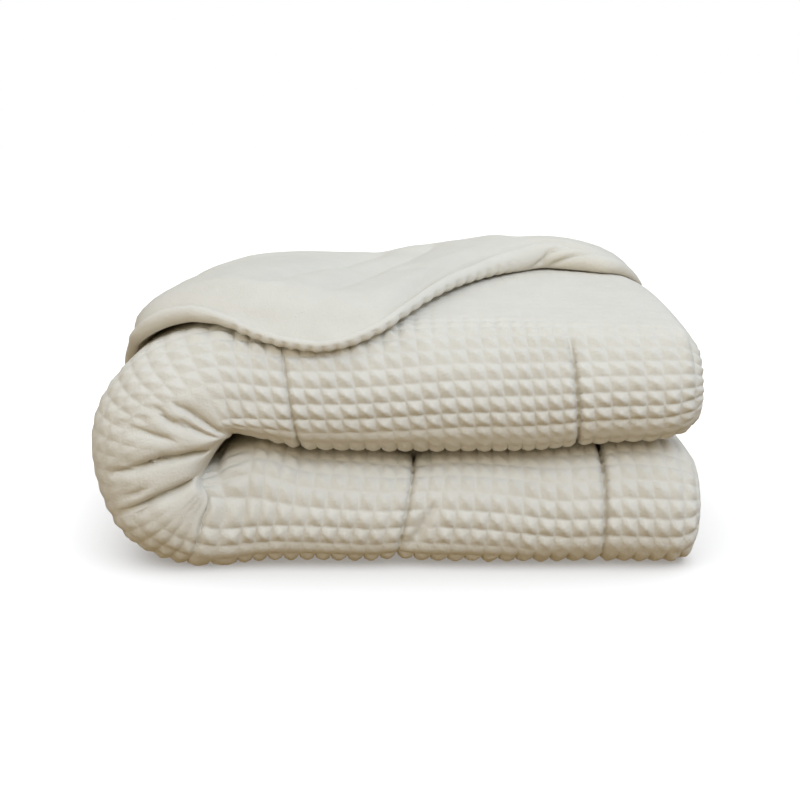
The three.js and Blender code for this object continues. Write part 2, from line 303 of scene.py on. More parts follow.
# Weave: how far the waffle rows have slipped round the fold, in rows, and how much they are stretched
WEAVE = table(
    "at shift stretch",
    (0, 0.58, 0), (56, 0.38, 0), (120, 0.33, 0), (194, 0.3, 0), (255, 0.21, 0),
    (313, -0.05, 0), (365, -0.22, 0), (420, -0.2, 0), (480, 0.1, 0), (600, 0.4, 0.15),
    (690, 0.62, 0.34), (735, 0.6, 0.3), (777, 0.73, 0.3), (825, 0.88, 0.3),
    (870, 0.76, 0.3), (901, 0.77, 0.3), (961, 1.08, 0.3), (1010, 1.55, 0.3),
    (1083, 1.6, 0.3), (1157, 1.85, 0.3),
)


def slipped_rows(at):
    """Where the waffle rows lie round the fold, in rows from the start of the front fold."""
    middle = FOLD_ROWS / 2
    off = RUNG_ROWS - middle
    near = smoothstep(RUNG_ROWS, -INNER_ROWS, 0) * fade(RUNG_ROWS, LAST_ROW - SLIP_FADE, LAST_ROW)
    stretch = column(WEAVE, "stretch", at) * off * bell(off / middle)
    return RUNG_ROWS + near * (column(WEAVE, "shift", at) + stretch)


# %% [markdown]
# ## Inner run, front fold and outer run
#
# From the front the pack shows a round fold between two flat runs. The lining is hidden in the slit
# between them. Both sides are found from one angle round the fold, so that a rung always joins two
# points that belong together.

# %% Ribbon
CROWN = 6


def outer_surface(at, y):
    """Height of the strip's outer surface at a depth, and the angle that it faces."""
    front, back = column(STRIP, "front", at), column(STRIP, "back", at)
    radius = front - FOLD_HEIGHT
    turn = np.where(y < FOLD_DEPTH, np.arcsin(np.clip((FOLD_DEPTH - y) / radius, 0, 1)), 0)
    share = np.clip((y - FOLD_DEPTH) / RUN_DEPTH, 0, 1)
    flat = lerp(front, back, share) + CROWN * np.sin(np.pi * share)
    return np.where(y < FOLD_DEPTH, FOLD_HEIGHT + radius * np.cos(turn), flat), turn


def ribbon(at):
    """Face and lining of the inner run, the front fold and the outer run."""
    row = slipped_rows(at)
    share = np.clip(row / FOLD_ROWS, 0, 1)
    turn = np.pi * (share + 0.5)
    behind = ROW * np.maximum(-row, 0) + RUN_DEPTH * np.maximum(row - FOLD_ROWS, 0) / RUN_ROWS
    power = np.where(share < 0.5, column(EYE, "round", at), 1)
    forward = np.abs(np.cos(turn)) ** power
    upward = np.sign(np.sin(turn)) * np.abs(np.sin(turn)) ** power

    def around(distance):
        return FOLD_DEPTH + behind - distance * forward, FOLD_HEIGHT - distance * upward

    y, height = around(lerp(FOLD_HEIGHT, column(STRIP, "front", at) - FOLD_HEIGHT, share))
    height = np.where(row > FOLD_ROWS, outer_surface(at, y)[0], height)
    rim = round_off((INNER_EDGE_Y - y) / RIM_LENGTH)
    return pair(y, height), pair(*around(RUN_GAP / 2)), rim, 0 * y


# %% [markdown]
# ## Back fold and flap
#
# At the back the duvet turns over, and its last run comes forward on top with the lining up. This flap
# covers the left half of the pack, and is a narrow strip at the right end and at the bend, where its
# fold opens. Its underside copies the surface that it rests on, and its top is that plus the filling,
# so that the layers don't cut into each other.

# %% Shape of the flap
# Flap: where its edge lies, the thickness of its filling, its gap to the strip under it, how far its
# fold is closed in degrees, and the radius of the roll that binds the edge
FLAP = table(
    "at edge thick gap fold roll",
    (0, 345, 8, 1.2, 180, 3),
    (30, 322, 14, 1.2, 180, 7),
    (57, 311, 19, 1.2, 180, 10),
    (87, 318, 25, 1.2, 180, 13),
    (135, 326, 28, 1.5, 180, 15),
    (165, 305, 28, 1.5, 180, 13),
    (198, 272, 28, 3, 180, 11),
    (222, 243, 28, 3, 180, 9),
    (252, 193, 28, 3, 180, 8),
    (284, 124, 28, 3, 180, 6.5),
    (312, 52, 27, 3, 180, 6),
    (342, 27, 26, 3, 180, 6),
    (384, 17, 30, 3, 180, 6),
    (424, 20, 36, 3, 180, 6),
    (456, 28, 39, 3, 180, 6),
    (480, 39, 38.5, 3, 180, 6),
    (494, 54, 35, 2, 180, 8),
    (510, 80, 34, 1.5, 180, 9.5),
    (520, 94, 32, 1.5, 180, 9),
    (530, 118, 27, 1.5, 180, 7.5),
    (540, 182, 23, 1.5, 180, 6.5),
    (552, 244, 24, 3, 180, 7),
    (572, 296, 24, 3, 180, 8),
    (592, 324, 22, 3, 165, 7),
    (612, 340, 26, 3, 110, 6),
    (635, 336, 42, 3, 40, 6),
    (660, 330, 62, 3, 0, 6),
    (1157, 330, 62, 3, 0, 6),
)

# %% Turn the back fold
BACK_FOLD_SPREAD = 14
BACK_SWELL = 4


def back_axis(at):
    """Height of the back fold's axis, how far it is closed, its room along the rim and its own swell."""
    closed = np.radians(column(FLAP, "fold", at))
    height = outer_surface(at, BACK_FOLD_Y)[0] + column(FLAP, "gap", at) / 2
    return height, closed, BACK_FOLD_SPREAD * (1 - closed / np.pi), BACK_SWELL * closed / np.pi


def back_fold(at):
    """Face and lining of the fold at the back."""
    height, closed, spread, swell = back_axis(at)
    gap = column(FLAP, "gap", at) / 2
    turn = BACK_STEPS * closed
    outside = gap + column(FLAP, "thick", at) + swell
    radius = lerp(height - RUN_THICKNESS - RUN_GAP, outside, smoothstep(BACK_STEPS, 0, 1))

    def around(distance):
        y = BACK_FOLD_Y + spread * BACK_STEPS + distance * np.sin(turn)
        return pair(y, height - distance * np.cos(turn))

    return around(gap), around(radius), 1 + 0 * turn, BACK_STEPS + 0 * turn


# %% Lay the flap forward
BACK_SWELL_REACH = 25
RIM_SHARE = 0.8


def flap(at):
    """Face and lining of the run that is turned forward on top."""
    edge, gap = column(FLAP, "edge", at), column(FLAP, "gap", at)
    height, closed, spread, back_swell = back_axis(at)
    opened = np.pi - closed
    rim_length = np.minimum(RIM_LENGTH, RIM_SHARE * (BACK_FOLD_Y - edge))
    inside = lerp(BACK_FOLD_Y, edge + rim_length, FLAP_STEPS)
    y = np.concatenate([inside, edge + rim_length * FLAP_RIM_STEPS], 1)
    under, turn = outer_surface(at, y)
    swell = smoothstep(y, edge, np.minimum(edge + 2 * rim_length, BACK_FOLD_Y))
    rise = lerp(2 * column(FLAP, "roll", at), column(FLAP, "thick", at), swell)
    rise = rise + back_swell * np.exp((y - BACK_FOLD_Y) / BACK_SWELL_REACH)

    def off(up):
        side, top = y - up * np.sin(turn) - BACK_FOLD_Y, under + up * np.cos(turn) - height
        return pair(
            BACK_FOLD_Y + spread + side * np.cos(opened) + top * np.sin(opened),
            height - side * np.sin(opened) + top * np.cos(opened),
        )

    return off(gap), off(gap + rise), round_off((y - edge) / rim_length), 1 + 0 * y


# %% [markdown]
# ## Ends and seams
#
# The filling thins out towards the two ends, which look like the ends of a cushion, and the quilting
# seams draw the two cloths together. Both only change how much of its thickness the duvet keeps, so
# one number for each point does the work: its face and lining are moved towards their middle.

# %% How full the duvet is
END_ROUND = 0.8
# Ends: the length of the strip's rounded ends, by waffle rows from the start of the front fold
ENDS = table(
    "at length",
    (-3, 64), (0, 68), (3, 60), (6, 38), (9, 26), (12, 24), (18, 28), (24, 40), (30, 70),
)

# Quilting seams: the share of the thickness that each draws in, on the front of the fold, at its inner
# edge and at its outer edge, how far the pinch reaches, and the depth of the stitched line itself
SEAMS = table(
    "at front inner outer reach cut",
    (132, 0.05, 0.12, 0, 4, 3.5),
    (421, 0.03, 0.08, 0, 4, 3),
    (655, 0.02, 0, 0, 5, 2),
    (851, 0.10, 0.42, 0.26, 16, 3.5),
    (1054, 0.06, 0.26, 0.16, 6, 3.5),
)


def fullness(at, row):
    """How much of its thickness the duvet keeps near its two ends, and next to its seams."""
    end = round_off(np.minimum(at, TOTAL_LENGTH - at) / column(ENDS, "length", row)) ** END_ROUND
    side = np.clip(row / FOLD_ROWS * 2 - 1, -1, 1)
    seam = 1 + 0 * (at + row)
    for line, front, inner, outer, reach in rows_of(SEAMS, "at front inner outer reach"):
        depth = lerp(front, np.where(side < 0, inner, outer), side * side)
        seam = seam * (1 - depth * np.exp(-np.abs(at - line) / reach))
    return end, seam


# %% Cross-sections of the whole fold
# Where between the lining and the face the two meet at the ends: half way, less on the front fold
MEET_SHARE = 0.5
FOLD_MEET_SHARE = 0.46
FOLD_CLOSED = 180


def section(at):
    """Face and lining of every rung, drawn in at the rims, the seams and the ends."""
    at = np.asarray(at, float)[:, None]
    runs = zip(ribbon(at), back_fold(at), flap(at))
    face, lining, rim, free = [np.concatenate(parts, 1) for parts in runs]
    behind = np.clip((face[..., 0] - FOLD_DEPTH) / RUN_DEPTH, 0, 1)
    end, seam = fullness(at, np.where(free > 0, FOLD_ROWS + RUN_ROWS * behind, WAFFLE_ROWS))
    full = (rim * end * lerp(seam, 1, free))[..., None]
    fold = smoothstep(WAFFLE_ROWS, -INNER_ROWS, 0) * fade(WAFFLE_ROWS, FOLD_ROWS, LAST_ROW)
    middle = lerp(lining, face, lerp(MEET_SHARE, FOLD_MEET_SHARE, fold)[:, None])

    # At its ends the flap comes down on the ridge where the run under it closes
    ridge = lerp(RUN_THICKNESS + RUN_GAP, outer_surface(at, middle[..., 0])[0], MEET_SHARE)
    ridge = ridge + free * column(FLAP, "gap", at)
    sink = (free > 0) * (1 - end) * (middle[..., 1] - ridge) * column(FLAP, "fold", at) / FOLD_CLOSED
    drop = pair(0, sink)
    return lerp(middle, face, full) - drop, lerp(middle, lining, full) - drop, free


# %% [markdown]
# ## The waffle
#
# The face cloth is pressed into squares of about 17 mm. They keep their size on the outside of the
# bend, so a length of strip holds more of them there, and its inside gathers in folds. A table says
# how many squares fit up to each place, with the quilting seams on whole numbers, because they run in
# the valleys.

# %% Columns along the strip
SQUARES = table(
    "at strip",
    (0.5, 0), (8, 132), (13, 205), (26, 421), (29, 470), (33, 520), (48, 655), (50, 686),
    (52, 717), (60, 851), (72, 1054), (78.2, TOTAL_LENGTH),
)
END_COLUMNS = np.array([0.4, 1.4])
END_CLEARANCE = 0.02
SEAM_SIDE = 0.9
FINE_STEPS = 4000

first_square, last_square = SQUARES["at"][[0, -1]]
squares = lattice(0, math.ceil(last_square))
squares = squares[between(squares, first_square + END_CLEARANCE, last_square - END_CLEARANCE)]
strip_ends = np.concatenate([[0], END_COLUMNS, TOTAL_LENGTH - END_COLUMNS, [TOTAL_LENGTH]])
seam_sides = (SEAMS["at"][:, None] + SEAM_SIDE * np.array([-1, 1])).ravel()
column_at = np.unique(np.concatenate([column(SQUARES, "strip", squares), seam_sides, strip_ends]))
fine_squares = np.linspace(first_square, last_square, FINE_STEPS)
column_square = np.interp(column_at, column(SQUARES, "strip", fine_squares), fine_squares)
print("columns:", len(column_at))

# %% [markdown]
# ## One square
#
# Each pressed square is a soft four-sided pyramid. A displacement texture could draw it, but with a
# function the valleys lie on the grid lines. The pyramids are a little skewed, so that each square
# looks divided along one diagonal, as on the real cloth.

# %% Shape of a square
WAFFLE_ROUND = 0.4
WAFFLE_SKEW = 0.16
WANDER_CELLS = 64


def waffle(square, row, ribs):
    """Height of a soft four-sided pyramid over each square, from 0 in the valleys to 1 at the peaks.

    Where ribs is 1 the squares of a column have merged into one upright rib.
    """
    across = 1 - np.abs((square % 1) * 2 - 1)
    up = lerp(1 - np.abs((row % 1) * 2 - 1), 1, ribs)
    rise = np.minimum(across, up)
    skew = WAFFLE_SKEW * np.sin(2 * np.pi * square) * np.sin(2 * np.pi * row)
    return lerp(rise * (1 + WAFFLE_ROUND * (1 - rise)) + skew, round_off(rise), ribs)


def wander(across, up, seed, size):
    """Slow random swells between -1 and 1, the same on each run."""
    grid = np.random.default_rng(seed).uniform(-1, 1, (WANDER_CELLS, WANDER_CELLS))
    across, up = across / size, up / size
    i, j = np.floor(across).astype(int), np.floor(up).astype(int)
    s, t = smoothstep(across - i, 0, 1), smoothstep(up - j, 0, 1)

    def corner(di, dj):
        return grid[(i + di) % WANDER_CELLS, (j + dj) % WANDER_CELLS]

    return lerp(lerp(corner(0, 0), corner(1, 0), s), lerp(corner(0, 1), corner(1, 1), s), t)


# %% [markdown]
# ## The creases
#
# Round the bend there is too much cloth on the inside, and it gathers in pleats that meet at the eye.
# One more pleat runs down to a seam of the lower tier, and the lining has three soft creases. They
# could be sculpted, but a crease that is drawn through a few places, with its depth and its reach
# there, is easy to move. The pleats are drawn as seen from the front, the lining's from above.

# %% Draw the creases
CREASE_SHARP = 0.55


def crease(*rows, sharp=CREASE_SHARP, blunt=0):
    """A crease through places on a plane: two coordinates, depth and reach of each place.

    Sharp is the share of it that is a fine line, and blunt the radius that rounds its bottom.
    """
    places = [(index, *row) for index, row in enumerate(rows)]
    return {**table("at a b depth reach", *places), "sharp": sharp, "blunt": blunt}


FRONT_CREASES = [
    crease((-229, 183, 0, 7), (-221, 175, 8, 7), (-208, 169, 12, 7), (-194, 159, 12, 7),
           (-183, 151, 10, 6), (-170, 141, 4, 5)),
    crease((-256, 174, 0, 8), (-241, 171, 8, 8), (-229, 160, 12, 8), (-211, 155, 12, 8),
           (-196, 148, 11, 7), (-181, 142, 4, 5)),
    crease((-290, 159, 0, 9), (-273, 154, 5, 9), (-258, 150, 8, 9), (-246, 147, 9, 9),
           (-231, 143, 8, 9), (-215, 141, 0, 8)),
    crease((-269, 164, 0, 5), (-256, 162, 5, 5), (-246, 167, 0, 5)),
    crease((-302, 99, 0, 8), (-285, 105, 9, 8), (-265, 111, 18, 8), (-248, 117, 20, 8),
           (-236, 121, 21, 8), (-220, 123, 20, 8), (-207, 126, 20, 7), (-193, 127, 17, 6),
           (-184, 131, 13, 5), (-172, 138, 5, 5), sharp=0.65),
    crease((-284, 113, 0, 5), (-272, 116, 6, 5), (-265, 111, 8, 5)),
    crease((-296, 73, 0, 10), (-275, 81, 6, 10), (-262, 87, 7, 10), (-243, 96, 0, 10)),
    crease((-298, 53, 0, 6), (-276, 64, 14, 6), (-257, 74, 19, 6), (-240, 83, 22, 6),
           (-227, 88, 24, 6), (-215, 94, 19, 6), (-206, 100, 8, 6), (-199, 105, 0, 6), sharp=0.7),
    crease((-283, 47, 0, 7), (-268, 60, 6, 7), (-254, 70, 7, 7), (-240, 80, 0, 7)),
    crease((-240, 73, 0, 4), (-228, 83, 6, 4), (-219, 91, 8, 4)),
    crease((42, 76, 0, 7), (36, 67, 8, 7), (32, 60, 11, 7), (26, 51, 12, 7), (20, 38, 11, 7),
           (11, 26, 5, 7), sharp=0),
]
LINING_CREASES = [
    crease((-166, 64, 0, 12), (-141, 113, 4, 11), (-118, 165, 9, 10), (-87, 234, 11, 10),
           (-65, 271, 11, 10), (-49, 308, 9, 10), (-20, 370, 6, 10), sharp=0.05, blunt=4),
    crease((-98, 36, 0, 12), (-76, 86, 4, 11), (-58, 138, 9, 10), (-37, 194, 11, 10),
           (-16, 249, 11, 10), (7, 294, 9, 10), (40, 370, 6, 10), sharp=0.05, blunt=4),
    crease((-32, 195, 0, 9), (-4, 197, 4, 9), (13, 199, 4, 9), (46, 205, 0, 9), sharp=0.05, blunt=4),
]
print("creases:", len(FRONT_CREASES), "in front,", len(LINING_CREASES), "on the lining")

# %% Depth of the creases
CREASE_STEPS = 5
CREASE_LINE = 2.2


def trough(a, b, creases):
    """Depth of creases at places on the plane that they are drawn on. Where two meet, the deeper wins."""
    total = 0 * a
    for rows in creases:
        last = len(rows["at"]) - 1
        steps = np.linspace(0, last, CREASE_STEPS * last + 1)
        line = np.stack([column(rows, name, steps) for name in ("a", "b", "depth", "reach")], 1)
        deepest = 0 * a
        for (a0, b0, depth0, reach0), (a1, b1, depth1, reach1) in zip(line, line[1:]):
            length = (a1 - a0) ** 2 + (b1 - b0) ** 2
            share = np.clip(((a - a0) * (a1 - a0) + (b - b0) * (b1 - b0)) / length, 0, 1)
            away = np.hypot(a - lerp(a0, a1, share), b - lerp(b0, b1, share))
            away = np.hypot(away, rows["blunt"]) - rows["blunt"]
            soft, fine = np.exp(-away / lerp(reach0, reach1, share)), np.exp(-away / CREASE_LINE)
            shape = lerp(soft, fine, rows["sharp"])
            deepest = np.maximum(deepest, lerp(depth0, depth1, share) * shape)
        total = total + deepest ** 3
    return np.cbrt(total)


# %% [markdown]
# ## The body
#
# The body is one closed skin. A flat grid is wrapped round the filling, along the face and back along
# the lining, as the two cloths are sewn together at their edges. A sheet with a solidify modifier
# would be quicker, but it would have one thickness everywhere, and a duvet looks soft because it
# hasn't. Each point of the grid also knows its waffle square and its row.

# %% Wrap the grid
face, lining, free = section(column_at)
rungs = face.shape[1]
ring = np.concatenate([np.arange(rungs), np.arange(rungs - 2, 0, -1), [0]])
on_face = np.arange(len(ring)) < rungs
on_face[-1] = True
flat = np.where(on_face[None, :, None], face[:, ring], lining[:, ring])
free = free[:, ring]
y, height = flat[..., 0], flat[..., 1]

square = column_square[:, None] + 0 * y
row = WAFFLE_ROWS[ring] + 0 * y
on_ribbon = ring < len(RUNG_ROWS)
slipped = row.copy()
slipped[:, on_ribbon] = slipped_rows(column_at[:, None])[:, ring[on_ribbon]]
quilted = on_face & (free == 0)
print("grid:", flat.shape[:2])

# %% Place the grid
# The lower tier's own columns stand upright beside the eye, so the strip is gathered there
GATHER = 35
GATHER_START = (43.5, 48)
GATHER_STOP = (48, 50)
GATHER_ROWS = (1, 8)


def normals(points):
    """Outward normals of a wrapped grid."""
    along = np.gradient(points, axis=0)
    round_it = np.concatenate([points[:, -2:-1], points, points[:, 1:2]], 1)
    across = round_it[:, 2:] - round_it[:, :-2]
    normal = np.cross(across, along)
    return normal / np.maximum(np.linalg.norm(normal, axis=-1, keepdims=True), 1e-9)


gathered = smoothstep(square, *GATHER_START) * fade(square, *GATHER_STOP) * fade(row, *GATHER_ROWS)
at = column_at[:, None] - GATHER * gathered * smoothstep(row, -INNER_ROWS, 0)
slant = column(STRIP, "slant", at) * fade(y, FOLD_DEPTH, 4 * FOLD_DEPTH) * (1 - free)
points = place(at, y, height, slant)
outward = normals(points)
print("plain skin from", points.min((0, 1)).round(), "to", points.max((0, 1)).round())

# %% [markdown]
# ## How deep the waffle is pressed
#
# The squares are clear on the front of both tiers. They go flat on the outside of the bend, on top, at
# the ends and between the layers. A relief number for each point, 1 where the squares are full, is
# multiplied by a share for each of these reasons.

# %% Relief of the waffle
# How much of the waffle shows on the outside of the bend
BEND_WAFFLE = table(
    "at share",
    (0, 0.75), (480, 0.75), (530, 0.65), (560, 0.35), (590, 0.2), (610, 0.35), (640, 0.6),
    (1157, 0.6),
)
BEND_START = (465, 510)
BEND_STOP = (47.6, 48.1)
BEND_OUTSIDE = (65, 110)
BEND_LEAST = 0.05
INNER_FADE = (-INNER_ROWS, -INNER_ROWS + 1.5)
END_FADE = (0.1, 0.5)
LOWER_WAFFLE = 1.05
SHOULDER_WAFFLE = 0.65
SHOULDER_ROWS = (2.5, 5.4)

end, _ = fullness(column_at[:, None], row)
upper = at < UPPER_LENGTH + BEND_LENGTH / 2
in_bend = smoothstep(at, *BEND_START) * fade(square, *BEND_STOP)
outside = column(BEND_WAFFLE, "share", at) * smoothstep(height, *BEND_OUTSIDE)
relief = smoothstep(row, *INNER_FADE) * quilted * smoothstep(end, *END_FADE)
relief = relief * lerp(1, BEND_LEAST + outside, in_bend)
shoulder = lerp(SHOULDER_WAFFLE, 1, smoothstep(slipped, *SHOULDER_ROWS))
relief = relief * np.where(upper, 1, LOWER_WAFFLE * shoulder)
print("share with waffle:", (relief > 0).mean().round(2))

# %% Fade the waffle out on top and underneath
TOP_WAFFLE = 0.1
UPPER_FADE = (FOLD_ROWS - 3.3, FOLD_ROWS + 1)
LOWER_FADE = (11, 14)
# Left of the right end the squares reach further over the top
FURTHER = 1.4
FURTHER_AT = (120, 200)

further = FURTHER * smoothstep(at, *FURTHER_AT)
fading = np.where(upper, smoothstep(slipped - further, *UPPER_FADE), smoothstep(slipped, *LOWER_FADE))
relief = relief * lerp(1, TOP_WAFFLE, fading)
print("mean relief:", relief.mean().round(2))

# %% [markdown]
# ## Ribs and calm rows
#
# Close to the slit between the tiers, and down at the floor, the cloth is pressed together and the
# squares of a column merge into upright ribs. The row next to the ribs is nearly flat, and so is the
# lip over the eye of the bend. A slow random swell makes the squares uneven.

# %% Merge squares into ribs
RIB_HEIGHT = 0.65
BOTTOM_RIB_HEIGHT = 1.2
UPPER_RIBS = (1.8, 2.5)
SHOULDER_RIBS = (0.8, 2.2)
BOTTOM_RIBS = (9.3, 9.9)
CALM_HEIGHT = 0.15
UPPER_CALM_ROW = 3.2
LOWER_CALM_ROW = 8.8
CALM_REACH = 0.9
LIP_AT = (425, 465)
LIP_ROWS = (3.5, 5.5)
UNEVEN = 0.3
UNEVEN_SEED = 3
UNEVEN_SIZE = 1.3

lip = upper * smoothstep(at, *LIP_AT) * fade(slipped, *LIP_ROWS)
bottom_ribs = smoothstep(slipped, *BOTTOM_RIBS)
lower_ribs = bottom_ribs + fade(slipped, *SHOULDER_RIBS)
ribs = np.where(upper, fade(slipped, *UPPER_RIBS), lower_ribs) * (1 - in_bend) * (1 - lip)
rib_height = lerp(RIB_HEIGHT, BOTTOM_RIB_HEIGHT, bottom_ribs)
calm_row = np.where(upper, UPPER_CALM_ROW, LOWER_CALM_ROW)
calm = np.maximum(bell((slipped - calm_row) / CALM_REACH) * (1 - in_bend), lip)
relief = relief * lerp(1, rib_height, ribs) * lerp(1, CALM_HEIGHT, calm)
relief = relief * (1 + UNEVEN * wander(square, row, UNEVEN_SEED, UNEVEN_SIZE))
print("share in ribs:", (ribs * relief > 0).mean().round(2))

# %% [markdown]
# ## Folds of the skin
#
# The pleats are pressed back into the front, and the creases down into the lining. Next to the rolled
# edge the lining is drawn down by its seam and puckers, as cloth does where a longer piece is sewn to
# a shorter one. A slow swell keeps the rest of the lining from looking stiff.

# %% Pleats and creases
X, Y, Z = 0, 1, 2
FRONT_ROWS = (-1, FOLD_ROWS + 1)
FRONT_AT = (440, 920)
FRONT_FADE = (4, 22)
LINING_END = 600


def creases_on(part, axes, creases):
    """Depth of creases on the part of the skin that they are drawn on."""
    depth = 0 * y
    depth[part] = trough(*[points[..., axis][part] for axis in axes], creases)
    return depth


in_front = on_face & between(row, *FRONT_ROWS) & between(at, *FRONT_AT)
front_folds = creases_on(in_front, (X, Z), FRONT_CREASES) * smoothstep(height, *FRONT_FADE)
on_lining = ~on_face & (free > 0) & (at < LINING_END)
lining_creases = creases_on(on_lining, (X, Y), LINING_CREASES)
print("deepest pleat:", front_folds.max().round(1), "crease:", lining_creases.max().round(1), "mm")

# %% Puckers and swells of the lining
PIPING_DEPTH = 0.7
PIPING_AWAY = 1.0
PIPING_REACH = 0.45
PIPING_START = (20, 130)
PUCKER_DEPTH = 4
PUCKER_REACH = 16
PUCKER_SQUEEZE = 2.2
PUCKER_SEED = 8
LINING_SWELL = 1.6
SWELL_SEED = 11
SWELL_SIZE = 2.4
SWELL_ENDS = (0.5, 0.9)
SWELL_START = (0.02, 0.5)

from_edge = y - column(FLAP, "edge", at)
pucker = np.maximum(wander(square * PUCKER_SQUEEZE, 0 * square, PUCKER_SEED, 1), 0)
piping = column(FLAP, "roll", at)
sewn = PIPING_DEPTH * piping * np.exp(-np.abs(from_edge / piping - PIPING_AWAY) / PIPING_REACH)
sewn = sewn * smoothstep(at, *PIPING_START)
sewn = sewn + PUCKER_DEPTH * pucker * np.exp(-from_edge / PUCKER_REACH)
sewn = sewn * fade(y, BACK_FOLD_Y - RIM_LENGTH, BACK_FOLD_Y)
lining_folds = lining_creases + np.where(on_lining & (free == 1) & (from_edge > 0), sewn, 0)
swells = LINING_SWELL * wander(square, y / ROW, SWELL_SEED, SWELL_SIZE) * smoothstep(end, *SWELL_ENDS)
lining_folds = lining_folds + np.where(on_face, 0, swells * smoothstep(free, *SWELL_START))
print("lining moved by", lining_folds.min().round(1), "to", lining_folds.max().round(1), "mm")

# %% [markdown]
# ## Stitched seams
#
# A quilting seam is a narrow groove with a stitch in each row of squares, deeper where the tiers meet.
# A bump map could draw it, but it shows on the outline at the slit. So it is cut into the grid, which
# has three columns close together at each seam.

# %% Cut the seams
SEAM_WIDTH = 1.6
SEAM_BEADS = 0.45
SEAM_NOTCH = 1.0
NOTCH_ROWS = (1, 4)
SEAM_FADE = (FOLD_ROWS - 4, FOLD_ROWS - 2)
EYE_SEAM_AT = (560, 720)
EYE_SEAM_HEIGHT = (14, 30)
EYE_SEAM_ROWS = (8, 10)

cut = 0 * y
for line, depth in rows_of(SEAMS, "at cut"):
    cut = cut + depth * np.clip(1 - np.abs(column_at[:, None] - line) / SEAM_WIDTH, 0, 1)
cut = cut * quilted * fade(slipped, *SEAM_FADE)
cut = cut * (1 + SEAM_BEADS * np.cos(2 * np.pi * row)) * (1 + SEAM_NOTCH * fade(slipped, *NOTCH_ROWS))
eye_seam = smoothstep(height, *EYE_SEAM_HEIGHT) * fade(row, *EYE_SEAM_ROWS)
cut = cut * np.where(between(at, *EYE_SEAM_AT), eye_seam, 1)
print("deepest seam:", cut.max().round(1), "mm")

# %% Press it all into the grid
WAFFLE_HEIGHT = 5.2
WAFFLE_PEAK = 1.2
LUMP_HEIGHT = 0.7
LUMP_SEED = 5
LUMP_SIZE = 0.45
# A pleat pulls the squares flat by this share where it is this deep
PULLED_FLAT = 0.8
PULLED_DEPTH = 5

relief = relief * (1 - PULLED_FLAT * np.clip(front_folds / PULLED_DEPTH, 0, 1))
lumps = LUMP_HEIGHT * wander(square, row, LUMP_SEED, LUMP_SIZE)
pressed = WAFFLE_HEIGHT * waffle(square, row, ribs) - WAFFLE_HEIGHT + WAFFLE_PEAK + lumps
detail = relief * pressed - lining_folds - cut
points = points + outward * detail[..., None]
points[..., Y] = points[..., Y] + front_folds
points[..., Z] = np.maximum(points[..., Z], 0)
print("detail from", detail.min().round(1), "to", detail.max().round(1), "mm")

# %% [markdown]
# ## A lighter grid
#
# Most of the fine grid lies between the layers, where nobody sees it, or on the smooth lining, where
# fewer columns do. A decimate modifier would spoil the squares with its own triangles. So fine columns
# are marked as spare where the skin is hidden or smooth, and fine rows where it is hidden, to be
# dissolved later. The rounded ends keep their columns.

# %% Find the spare part of the grid
FLAP_COVER = 30
COVERED_AT = (90, 560)
COVERED_ROW = 15
RIM_KEEP = 1.5 * RIM_LENGTH
END_KEEP = 22
FLAP_FACE_START = 0.3
INNER_HIDDEN_ROW = -0.9
FLOOR_ROW = 14
FLOOR_AT = BEND_END + 30
SMOOTH_CREASE = 1.2

from_end = np.minimum(at, TOTAL_LENGTH - at)
inside_rim = y < INNER_EDGE_Y - RIM_KEEP
covered = (from_edge > FLAP_COVER) & between(at, *COVERED_AT) & on_face & (row > COVERED_ROW)
in_slit = ~on_face & (free == 0) & (from_end > ENDS["length"].max())
flap_face = on_face & (free > FLAP_FACE_START) & (from_end > END_KEEP)
between_tiers = on_face & (row < INNER_HIDDEN_ROW) & inside_rim
on_floor = on_face & (row > FLOOR_ROW) & (at > FLOOR_AT)
hidden = covered | (in_slit & inside_rim) | flap_face | between_tiers | on_floor
smooth = hidden | in_slit | (~on_face & (free > 0) & (lining_creases < SMOOTH_CREASE))
print("share hidden:", hidden.mean().round(2), "and smooth:", smooth.mean().round(2))

# %% Mark the spare lines
LINE_MATCH = 0.01


def whole_quads(mask):
    """Quads of the grid with all four corners in a mask, with a border of none."""
    quads = mask[:-1, :-1] & mask[1:, :-1] & mask[:-1, 1:] & mask[1:, 1:]
    return np.pad(quads, 1)


columns, rows = points.shape[:2]
phase = column_square % 1
coarse_column = np.isclose(phase, 0, atol=LINE_MATCH) | np.isclose(phase, 0.5, atol=LINE_MATCH)
coarse_column[[0, -1]] = True
coarse_row = np.arange(rows) % len(PHASES) == 0
hidden_quad = whole_quads(hidden)
smooth_quad = whole_quads(smooth & (from_end > END_KEEP))
spare_row = hidden_quad[1:, 1:] & hidden_quad[1:, :-1] & ~coarse_row
spare_column = smooth_quad[1:, 1:] & smooth_quad[:-1, 1:] & ~coarse_column[:, None]
print("spare edges:", spare_row.sum() + spare_column.sum())

# %% [markdown]
# ## The skin
#
# A flat grid of quads is made first, and its points are then moved to their places. Each waffle quad
# is split along the ridge of its pyramid, which Blender would otherwise cut across. Points that meet
# at the rims and the ends are welded, which closes the skin.

# %% Make the quads
FACE_CLOTH = 0
LINING_CLOTH = 1
LEAST_RELIEF = 0.02


def flat_grid(columns, rows, size=1):
    """A flat grid with so many points each way."""
    shape = bmesh.new()
    bmesh.ops.create_grid(shape, x_segments=columns - 1, y_segments=rows - 1, size=size)
    return shape


